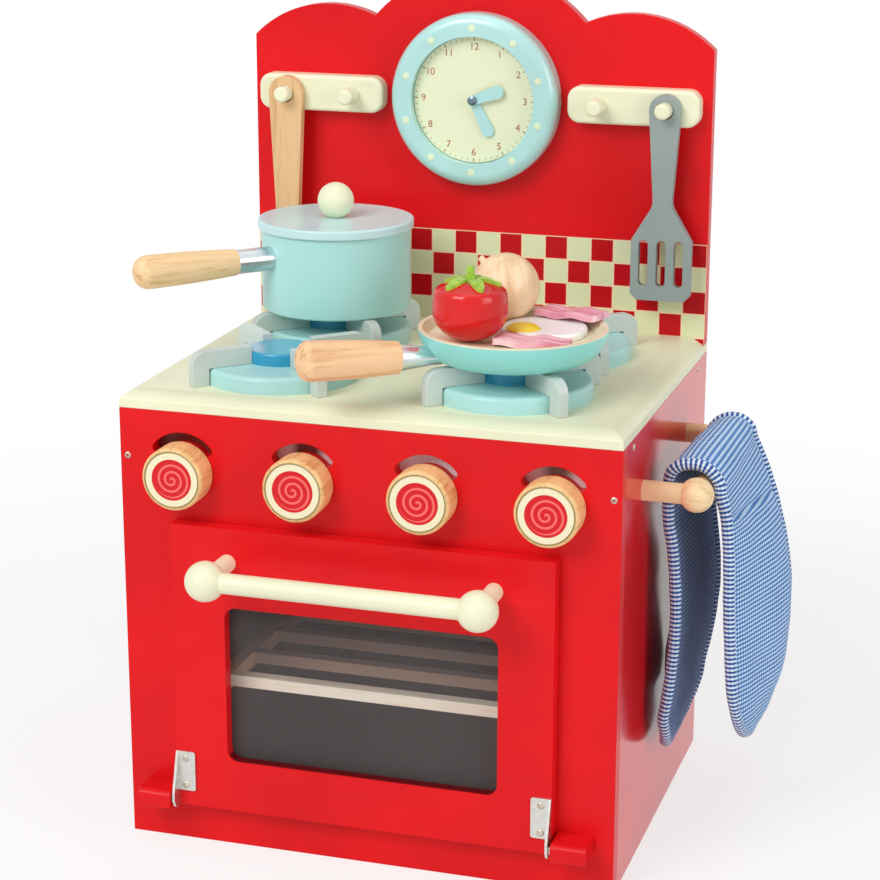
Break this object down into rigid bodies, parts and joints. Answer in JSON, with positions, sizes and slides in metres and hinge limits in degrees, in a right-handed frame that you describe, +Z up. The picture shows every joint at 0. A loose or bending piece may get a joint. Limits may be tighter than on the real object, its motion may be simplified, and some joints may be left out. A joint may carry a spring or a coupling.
{
  "type": "toy kitchen oven",
  "caption": "Wooden toy oven with hob, splashback, clock, hinged oven door, turning knobs, rack, pans, play food, utensils and a hanging oven mitt.",
  "frame": {"origin": "centre of the cabinet's footprint on the surface that it stands on", "axes": "+Z up, -Y out of the oven door, +X to the right as seen from the front"},
  "size_m": [0.3765, 0.2907, 0.504],
  "materials": {
    "cabinet_red": "gloss paint on MDF",
    "lining": "dark matt paint on thin board",
    "cream": "satin paint on wood",
    "light_blue": "satin paint on wood",
    "hub_blue": "clear blue gloss",
    "silver_paint": "silver paint on wood",
    "bare_wood": "waxed beech",
    "knob_wood": "waxed beech with painted front",
    "dial_dark": "dark paint",
    "dial_grey": "grey paint",
    "window": "smoked clear sheet",
    "hand_blue": "satin paint",
    "pan_blue": "satin paint on turned wood",
    "skillet_teal": "satin paint on turned wood",
    "ferrule": "satin",
    "zinc": "bright zinc plate",
    "tomato_red": "gloss paint",
    "leaf_green": "felt",
    "onion_tan": "satin paint",
    "egg_white": "satin paint",
    "bacon_pink": "satin paint",
    "mitt_check": "small woven check, quilted"
  },
  "bodies": {
    "cabinet": {"side_panel_left": "cabinet_red", "side_panel_right": "cabinet_red", "base_panel": "cabinet_red", "back_panel": "cabinet_red", "front_panel": "cabinet_red", "oven_liner": "lining", "rack_runners": "bare_wood", "hob_board": "cream", "splashback": "cabinet_red", "hinge_blocks": "cabinet_red", "peg_rails": "cream", "rail_pegs": "cream", "clock_case": "light_blue", "clock_dial": "cream", "clock_spindle": "hand_blue", "burner_discs": "light_blue", "burner_hubs": "hub_blue", "trivets": "silver_paint", "towel_posts": "bare_wood", "towel_balls": "bare_wood", "towel_bar": "bare_wood", "catch_magnet": "zinc"},
    "door": {"door_board": "cabinet_red", "door_window": "window", "handle_bar": "cream", "handle_posts": "cream", "handle_balls": "cream", "hinge_brackets": "zinc", "hinge_pins": "zinc", "catch_plate": "zinc"},
    "rack": {"rack_side_bars": "bare_wood", "rack_rails": "bare_wood"},
    "knob_1": {"knob_1": "knob_wood", "indicator_1": "dial_dark"},
    "knob_2": {"knob_2": "knob_wood", "indicator_2": "dial_dark"},
    "knob_3": {"knob_3": "knob_wood", "indicator_3": "dial_grey"},
    "knob_4": {"knob_4": "knob_wood", "indicator_4": "dial_grey"},
    "hour_hand": {"hour_hand": "hand_blue"},
    "minute_hand": {"minute_hand": "hand_blue"},
    "saucepan": {"saucepan": "pan_blue", "saucepan_ferrule": "ferrule", "saucepan_grip": "bare_wood"},
    "saucepan_lid": {"saucepan_lid": "pan_blue", "lid_knob": "cream"},
    "frying_pan": {"frying_pan": "skillet_teal", "frying_pan_ferrule": "ferrule", "frying_pan_grip": "bare_wood"},
    "bacon_front": {"bacon_front": "bacon_pink"},
    "tomato": {"tomato": "tomato_red", "tomato_leaves": "leaf_green"},
    "onion": {"onion": "onion_tan"},
    "fried_egg": {"fried_egg": "egg_white"},
    "bacon_rear": {"bacon_rear": "bacon_pink"},
    "spoon": {"spoon": "bare_wood"},
    "spatula": {"spatula": "silver_paint"},
    "oven_mitt": {"oven_mitt": "mitt_check"}
  },
  "joints": [
    {"name": "door_hinge", "type": "hinge", "parent": "cabinet", "child": "door", "pos_m": [0, -0.1315, 0.031], "axis": [1, 0, 0], "range_deg": [0, 85]},
    {"name": "rack_slide", "type": "slide", "parent": "cabinet", "child": "rack", "axis": [0, -1, 0], "range_m": [-0.05, 0.008]},
    {"name": "knob_1_turn", "type": "hinge", "parent": "cabinet", "child": "knob_1", "pos_m": [-0.111, -0.118, 0.232], "axis": [0, 1, 0], "continuous": true},
    {"name": "knob_2_turn", "type": "hinge", "parent": "cabinet", "child": "knob_2", "pos_m": [-0.037, -0.118, 0.232], "axis": [0, 1, 0], "continuous": true},
    {"name": "knob_3_turn", "type": "hinge", "parent": "cabinet", "child": "knob_3", "pos_m": [0.037, -0.118, 0.232], "axis": [0, 1, 0], "continuous": true},
    {"name": "knob_4_turn", "type": "hinge", "parent": "cabinet", "child": "knob_4", "pos_m": [0.111, -0.118, 0.232], "axis": [0, 1, 0], "continuous": true},
    {"name": "hour_hand_turn", "type": "hinge", "parent": "cabinet", "child": "hour_hand", "pos_m": [0, 0.1, 0.424], "axis": [0, 1, 0], "continuous": true},
    {"name": "minute_hand_turn", "type": "hinge", "parent": "cabinet", "child": "minute_hand", "pos_m": [0, 0.1, 0.424], "axis": [0, 1, 0], "continuous": true},
    {"name": "saucepan_lift", "type": "slide", "parent": "cabinet", "child": "saucepan", "axis": [0, -0.5, 0.866], "range_m": [0, 0.12]},
    {"name": "lid_lift", "type": "slide", "parent": "saucepan", "child": "saucepan_lid", "axis": [0, 0, 1], "range_m": [0, 0.055]},
    {"name": "frying_pan_lift", "type": "slide", "parent": "cabinet", "child": "frying_pan", "axis": [0, 0, 1], "range_m": [0, 0.12]},
    {"name": "bacon_front_lift", "type": "slide", "parent": "frying_pan", "child": "bacon_front", "axis": [0, 0, 1], "range_m": [0, 0.06]},
    {"name": "tomato_lift", "type": "slide", "parent": "bacon_front", "child": "tomato", "axis": [0, 0, 1], "range_m": [0, 0.06]},
    {"name": "onion_lift", "type": "slide", "parent": "frying_pan", "child": "onion", "axis": [0, 0, 1], "range_m": [0, 0.06]},
    {"name": "egg_lift", "type": "slide", "parent": "frying_pan", "child": "fried_egg", "axis": [0.7071, 0, 0.7071], "range_m": [0, 0.06]},
    {"name": "bacon_rear_lift", "type": "slide", "parent": "fried_egg", "child": "bacon_rear", "axis": [0.7071, 0, 0.7071], "range_m": [0, 0.06]},
    {"name": "spoon_pull", "type": "slide", "parent": "cabinet", "child": "spoon", "axis": [0, -1, 0], "range_m": [0, 0.017]},
    {"name": "spatula_pull", "type": "slide", "parent": "cabinet", "child": "spatula", "axis": [0, -1, 0], "range_m": [0, 0.03]},
    {"name": "mitt_lift", "type": "slide", "parent": "cabinet", "child": "oven_mitt", "axis": [0, 0, 1], "range_m": [0, 0.2]}
  ]
}
